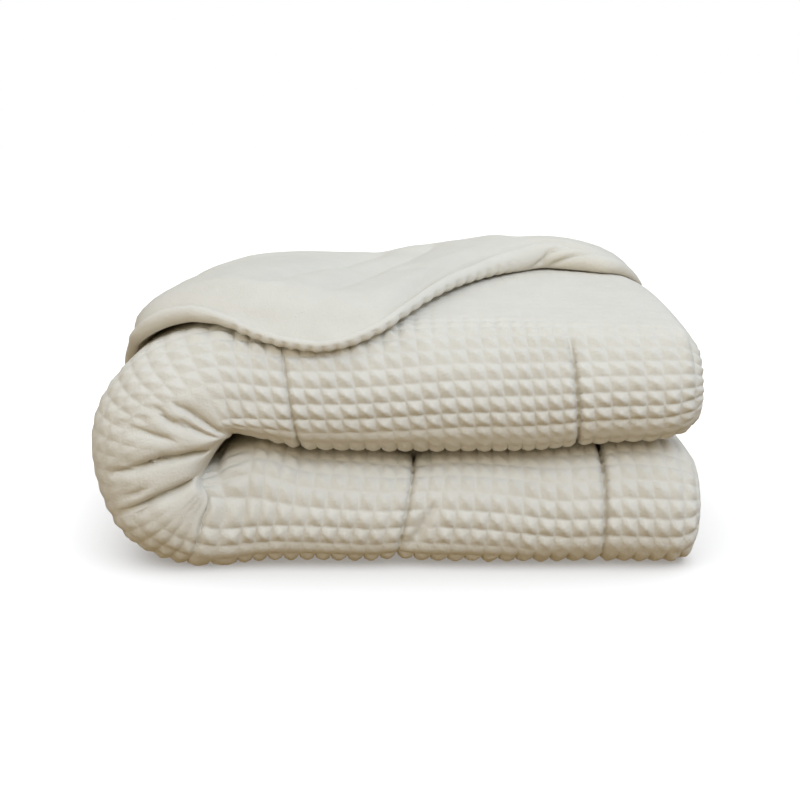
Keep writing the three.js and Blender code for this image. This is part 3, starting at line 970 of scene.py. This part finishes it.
skin = flat_grid(columns, rows)
skin.verts.ensure_lookup_table()
spare = []
for edge in skin.edges:
    first, second = sorted(vert.index for vert in edge.verts)
    around, along = divmod(first, columns)
    spare_line = spare_row if second - first == 1 else spare_column
    if spare_line[along, around]:
        spare.append(edge)
for quad in skin.faces[:]:
    first = min(vert.index for vert in quad.verts)
    around, along = divmod(first, columns)
    quad.material_index = FACE_CLOTH if around < rungs - 1 else LINING_CLOTH
    if relief[along, around] > LEAST_RELIEF and not smooth[along, around]:
        left_half = square[along:along + 2, around].mean() % 1 < 0.5
        lower_half = row[along, around:around + 2].mean() % 1 < 0.5
        corners = (first, first + columns + 1)
        if left_half != lower_half:
            corners = (first + 1, first + columns)
        bmesh.utils.face_split(quad, *[skin.verts[corner] for corner in corners])
print("faces:", len(skin.faces))

# %% Move the points and close the skin
WELD = 0.02 * MM


def move_points(shape, points):
    """Moves the vertices of a flat grid to their places on the duvet."""
    ordered = points.transpose(1, 0, 2).reshape(-1, 3)
    for vert, point in zip(shape.verts, (ordered + shift) * MM):
        vert.co = point


def new_piece(shape, name):
    """An object of the scene from a shape, with its faces outward and smooth shading."""
    bmesh.ops.recalc_face_normals(shape, faces=shape.faces)
    mesh = bpy.data.meshes.new(name)
    shape.to_mesh(mesh)
    shape.free()
    mesh.shade_smooth()
    piece = bpy.data.objects.new(name, mesh)
    scene.collection.objects.link(piece)
    mesh.calc_loop_triangles()
    print(name + ":", len(mesh.loop_triangles), "triangles")
    return piece


# The skin is set so that its right end and its front are those of the solid
duvet_low, duvet_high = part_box("duvet")
shift = np.array([duvet_high.x / MM - points[..., X].max(), duvet_low.y / MM - points[..., Y].min(), 0])
move_points(skin, points)
bmesh.ops.dissolve_edges(skin, edges=spare, use_verts=True, use_face_split=False)
bmesh.ops.remove_doubles(skin, verts=skin.verts, dist=WELD)
body = new_piece(skin, "duvet_body")
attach(body, "root")
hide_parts("duvet")
print("shift:", shift.round(1), "mm")

# %% [markdown]
# ## Plush
#
# Both cloths and the binding are short plush of a warm off-white. Its fibres scatter light, so it has
# no shine, only a faint light rim where the pile is seen from the side. Hair particles could make the
# pile, but at this distance a fine bump does the same. The colour varies a little in patches, as where
# a hand has brushed the pile.


# %% Helpers for materials
def linear(hex_colour):
    """Linear colour from an sRGB hex value."""
    parts = [int(hex_colour[i:i + 2], 16) / 255 for i in (1, 3, 5)]
    return [p / 12.92 if p <= 0.04045 else ((p + 0.055) / 1.055) ** 2.4 for p in parts] + [1]


def feed(tree, socket, value):
    """Gives a socket a value, or links another node's socket to it."""
    if isinstance(value, bpy.types.NodeSocket):
        tree.links.new(value, socket)
    else:
        socket.default_value = value


def add_node(tree, kind, settings=None, **inputs):
    """Adds a node; an input takes a value or another node's socket."""
    node = tree.nodes.new(kind)
    for name, value in (settings or {}).items():
        setattr(node, name, value)
    for name, value in inputs.items():
        feed(tree, node.inputs[name.replace("_", " ")], value)
    return node


def mix_colours(tree, share, first, second):
    """Adds a node that mixes two colours, and returns its colour socket."""
    node = add_node(tree, "ShaderNodeMix", {"data_type": "RGBA"}, Factor=share)
    colours = [socket for socket in node.inputs if socket.type == "RGBA"]
    for socket, colour in zip(colours, (first, second)):
        feed(tree, socket, colour)
    return next(socket for socket in node.outputs if socket.type == "RGBA")


def new_material(name):
    """A material, and the tree of its nodes."""
    material = bpy.data.materials.new(name)
    material.use_nodes = True
    return material, material.node_tree


def set_surface(tree, inputs):
    """Feeds the inputs of a material's surface that are named."""
    for name, value in inputs.items():
        feed(tree, tree.nodes["Principled BSDF"].inputs[name], value)


# %% Plush materials
PATCH_SIZE = 30 * MM
# Real fibres are far finer than a pixel, so the bump is drawn coarser to show as a soft grain
FIBRE_SIZE = 2.6 * MM
FIBRE_HEIGHT = 1.1 * MM
FIBRE_STRENGTH = 0.9
PLUSH_ROUGHNESS = 0.95
PLUSH_SPECULAR = 0.2
SHEEN = 0.05
SHEEN_ROUGHNESS = 0.6


def plush(name, light, dark):
    """A plush material: patches of two near tones, a grain of fibres and a soft sheen."""
    material, tree = new_material(name)
    where = add_node(tree, "ShaderNodeTexCoord").outputs["Object"]
    patch = add_node(tree, "ShaderNodeTexNoise", Vector=where, Scale=1 / PATCH_SIZE, Detail=3.0)
    fibre = add_node(
        tree, "ShaderNodeTexNoise", Vector=where, Scale=1 / FIBRE_SIZE, Detail=4.0, Roughness=0.7,
    )
    bump = add_node(
        tree, "ShaderNodeBump", Height=fibre.outputs["Fac"], Strength=FIBRE_STRENGTH, Distance=FIBRE_HEIGHT,
    )
    set_surface(tree, {
        "Base Color": mix_colours(tree, patch.outputs["Fac"], linear(dark), linear(light)),
        "Normal": bump.outputs["Normal"],
        "Roughness": PLUSH_ROUGHNESS,
        "Specular IOR Level": PLUSH_SPECULAR,
        "Sheen Weight": SHEEN,
        "Sheen Roughness": SHEEN_ROUGHNESS,
    })
    return material


# Matte off-white plush, on which every pressed square shows by its own shade
body.data.materials.append(plush("waffle plush", "#DCD6C8", "#D4CDBE"))
# The same plush left smooth, a shade darker, on which creases show softly
body.data.materials.append(plush("lining plush", "#D9D3C5", "#D1CABB"))
print("cloths of the body:", body.data.materials.keys())

# %% [markdown]
# ## Rolled edges
#
# The long edges are bound with a soft roll of plush. The outer one frames the flap: it is thick where
# the flap lies far back on the right, with two twists, and thin along the front, where the stitches
# scallop its underside. A curve with a bevel could make a plain tube. A grid that is wrapped round the
# same route can also take those shapes.

# %% Route of an edge
ROLL_TAPER = 50
ROLL_END = 6
ROLL_OVERHANG = 0.55
ROLL_LIFT = 2
ROLL_SINK = 0.5
ROLL_SINK_FADE = (200, 280)
INNER_ROLL_RADIUS = 6


def edge_route(outer, step):
    """Middle line of a rolled edge, and its radius along the way."""
    at = np.linspace(ROLL_END, TOTAL_LENGTH - ROLL_END, int(TOTAL_LENGTH / step))
    face = section(at)[0]
    rim, inside = (face[:, -1], face[:, -3]) if outer else (face[:, 0], face[:, 2])
    radius = column(FLAP, "roll", at) if outer else np.full(len(at), INNER_ROLL_RADIUS)
    radius = radius * round_off(np.minimum(at, TOTAL_LENGTH - at) / ROLL_TAPER)
    out = (rim - inside) / np.linalg.norm(rim - inside, axis=1, keepdims=True)
    seat = rim + out * (radius * ROLL_OVERHANG)[:, None]
    sink = ROLL_SINK * radius * fade(at, *ROLL_SINK_FADE) * outer
    points = place(at, seat[:, 0], seat[:, 1] - sink, 0)
    points[:, Z] = np.maximum(points[:, Z], radius + ROLL_LIFT)
    return at, points, radius


# %% Shape of the outer edge
SCALLOP = 12.5
SCALLOP_DEPTH = 2.2
SCALLOP_START = (160, 200)
SCALLOP_STOP = (480, 500)
TWISTS = (147, 116)
TWIST_LEAN = 63
TWIST_DEPTH = 7
TWIST_REACH = 6
# Turns round the roll are counted in half circles: these are where the shapes start and stop
SCALLOP_SIDE_START = (0.35, 0.6)
SCALLOP_SIDE_STOP = (0.95, 1.15)
TWIST_SIDE = (0.6, 0.85)
TWIST_MIDDLE = 0.8


def shaped_edge(at, turn):
    """Scallops under the front of the flap, and two twists where its edge lies back on the right."""
    below = smoothstep(turn, *SCALLOP_SIDE_START) * fade(turn, *SCALLOP_SIDE_STOP)
    scallop = np.abs(np.sin(np.pi * at / SCALLOP)) - 1
    front = smoothstep(at, *SCALLOP_START) * fade(at, *SCALLOP_STOP)
    relief = SCALLOP_DEPTH * scallop * below * front
    for start in TWISTS:
        away = np.abs(at - start + TWIST_LEAN * (turn - TWIST_MIDDLE))
        relief = relief - TWIST_DEPTH * np.exp(-away / TWIST_REACH) * smoothstep(turn, *TWIST_SIDE)
    return relief


# %% Make the rolls
THINNEST_ROLL = 0.5


def roll(name, node, outer, material, step, sides):
    """A rolled edge along its route, closed at both ends."""
    at, points, radius = edge_route(outer, step)
    along = np.gradient(points, axis=0)
    along /= np.linalg.norm(along, axis=1, keepdims=True)
    across = np.array([0, 1, 0]) - along * along[:, 1:2]
    across /= np.linalg.norm(across, axis=1, keepdims=True)
    up = np.cross(along, across)
    turn = np.linspace(0, 2, sides + 1)
    away = radius[:, None] + (shaped_edge(at[:, None], turn) if outer else 0 * turn)
    away = np.maximum(away, THINNEST_ROLL * radius[:, None])
    sideways, upward = np.cos(np.pi * turn)[None, :, None], np.sin(np.pi * turn)[None, :, None]
    wall = points[:, None] + away[..., None] * (across[:, None] * sideways + up[:, None] * upward)

    tube = flat_grid(len(points), sides + 1)
    move_points(tube, wall)
    bmesh.ops.remove_doubles(tube, verts=tube.verts, dist=WELD)
    bmesh.ops.holes_fill(tube, edges=tube.edges)
    piece = new_piece(tube, name)
    piece.data.materials.append(material)
    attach(piece, "root")
    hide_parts(node)
    return piece


binding = plush("binding plush", "#DCD6C8", "#D4CDBE")
outer_roll = roll("edge_roll_outer_plush", "edge_roll_outer", True, binding, step=1.6, sides=36)
inner_roll = roll("edge_roll_inner_plush", "edge_roll_inner", False, binding, step=4, sides=12)

# %% [markdown]
# ## Floor
#
# The duvet lies on white paper that runs out of the picture, with a soft neutral shadow under it. A
# floor bright enough to come out white would throw too much light up at the cloth. So its bounce is
# switched off, and the lower half of the dome stands for it. The paper is grey with a little glow of
# its own, which keeps its shadow from going black.

# %% White paper
FLOOR_SIZE = 4
PAPER_TONE = (0.4, 0.4, 0.4, 1)
PAPER_GLOW = 0.24
WHITE = (1, 1, 1, 1)

floor = new_piece(flat_grid(2, 2, FLOOR_SIZE), "floor")
floor.visible_diffuse = False
# Matte paper, on which only the soft shadow shows
paper, paper_tree = new_material("white paper")
set_surface(paper_tree, {
    "Base Color": PAPER_TONE,
    "Roughness": 1,
    "Emission Color": WHITE,
    "Emission Strength": PAPER_GLOW,
})
floor.data.materials.append(paper)

# %% [markdown]
# ## Lights
#
# The photo looks lit by large soft lights: a cool one from the upper right, and warmer light from the
# front and the left, as from cards that throw it back. Area lights would fall off across the pack. Suns
# with a wide spread are as soft and fall evenly. Light linking keeps these three to the cloth and an
# overhead light to the floor, so the floor's shadow stays neutral.

# %% Softboxes and cards
# The tints multiply the energy, so they may go over 1
COOL = (0.78, 1.02, 1.42)
WARM = (1.3, 1.0, 0.45)
CREAM = (1.05, 1.0, 0.9)
NEUTRAL = (1.0, 1.0, 1.0)


def lit_group(name, *pieces):
    """A group of pieces that a light is kept to."""
    group = bpy.data.collections.new(name)
    for piece in pieces:
        group.objects.link(piece)
    return group


def soft_sun(name, group, energy, spread, colour, towards):
    """A far softbox: parallel light with a wide spread in degrees, kept to one group of pieces."""
    data = bpy.data.lights.new(name, "SUN")
    data.energy = energy
    data.angle = math.radians(spread)
    data.color = colour
    light = bpy.data.objects.new(name, data)
    light.rotation_mode = "QUATERNION"
    light.rotation_quaternion = Vector(towards).to_track_quat("-Z", "Y")
    light.light_linking.receiver_collection = group
    scene.collection.objects.link(light)
    print("light:", name, "for the", group.name)


cloth = lit_group("lit cloth", body, outer_roll, inner_roll)
ground = lit_group("lit floor", floor)
soft_sun("key softbox", cloth, energy=1.12, spread=35, colour=COOL, towards=(-0.385, 0.593, -0.707))
soft_sun("front card", cloth, energy=0.36, spread=50, colour=WARM, towards=(0, 0.94, -0.342))
soft_sun("left card", cloth, energy=0.3, spread=60, colour=CREAM, towards=(0.84, 0.48, -0.26))
soft_sun("overhead softbox", ground, energy=5.4, spread=115, colour=NEUTRAL, towards=(0, 0, -1))

# %% [markdown]
# ## Dome
#
# The rest of the light comes from the room: pale from above, dark at the level of the eye, and warm
# from below, where the floor would throw it back. A picture of a room could light it, but a ramp of
# three tones over the height is enough for cloth. The camera sees plain white in its place.

# %% Dome of the studio
SKY = (
    (0.35, (0.31, 0.23, 0.12, 1)),
    (0.5, (0.03, 0.02, 0.01, 1)),
    (0.65, (0.81, 0.84, 0.88, 1)),
)

world = bpy.data.worlds.new("studio")
scene.world = world
world.use_nodes = True
sky = world.node_tree
where = add_node(sky, "ShaderNodeTexCoord").outputs["Generated"]
up = add_node(sky, "ShaderNodeSeparateXYZ", Vector=where).outputs["Z"]
ramp = add_node(sky, "ShaderNodeMapRange", Value=up, From_Min=-1.0, From_Max=1.0)
tones = add_node(sky, "ShaderNodeValToRGB", Fac=ramp.outputs["Result"])
tones.color_ramp.elements.new(0.5)
for stop, (position, colour) in zip(tones.color_ramp.elements, SKY):
    stop.position = position
    stop.color = colour
seen = add_node(sky, "ShaderNodeLightPath").outputs["Is Camera Ray"]
shown = mix_colours(sky, seen, tones.outputs["Color"], WHITE)
feed(sky, sky.nodes["Background"].inputs["Color"], shown)
print("dome:", len(SKY), "tones")

# %% [markdown]
# ## Camera
#
# The photo was taken from a little above, with a lens long enough that the pack's far side is nearly
# as large as its near side. The height, the distance and the focal length were tried until the pack
# lined up with the photo. The standard view shows the colours as the materials give them.

# %% Camera
CAMERA_TARGET = np.array([2, 0, 181.5])
CAMERA_DISTANCE = 1.75
CAMERA_ELEVATION = math.radians(14)
FOCAL_PIXELS = 1750
FRAME_PIXELS = 800
SENSOR_WIDTH = 36

camera_data = bpy.data.cameras.new("camera")
camera = bpy.data.objects.new("camera", camera_data)
scene.collection.objects.link(camera)
camera_data.sensor_width = SENSOR_WIDTH
camera_data.lens = SENSOR_WIDTH * FOCAL_PIXELS / FRAME_PIXELS
target = Vector(((CAMERA_TARGET + shift) * MM).tolist())
back = Vector((0, -math.cos(CAMERA_ELEVATION), math.sin(CAMERA_ELEVATION)))
camera.location = target + back * CAMERA_DISTANCE
camera.rotation_mode = "QUATERNION"
camera.rotation_quaternion = (-back).to_track_quat("-Z", "Y")
scene.camera = camera
scene.view_settings.view_transform = "Standard"
print("lens:", camera_data.lens, "mm")
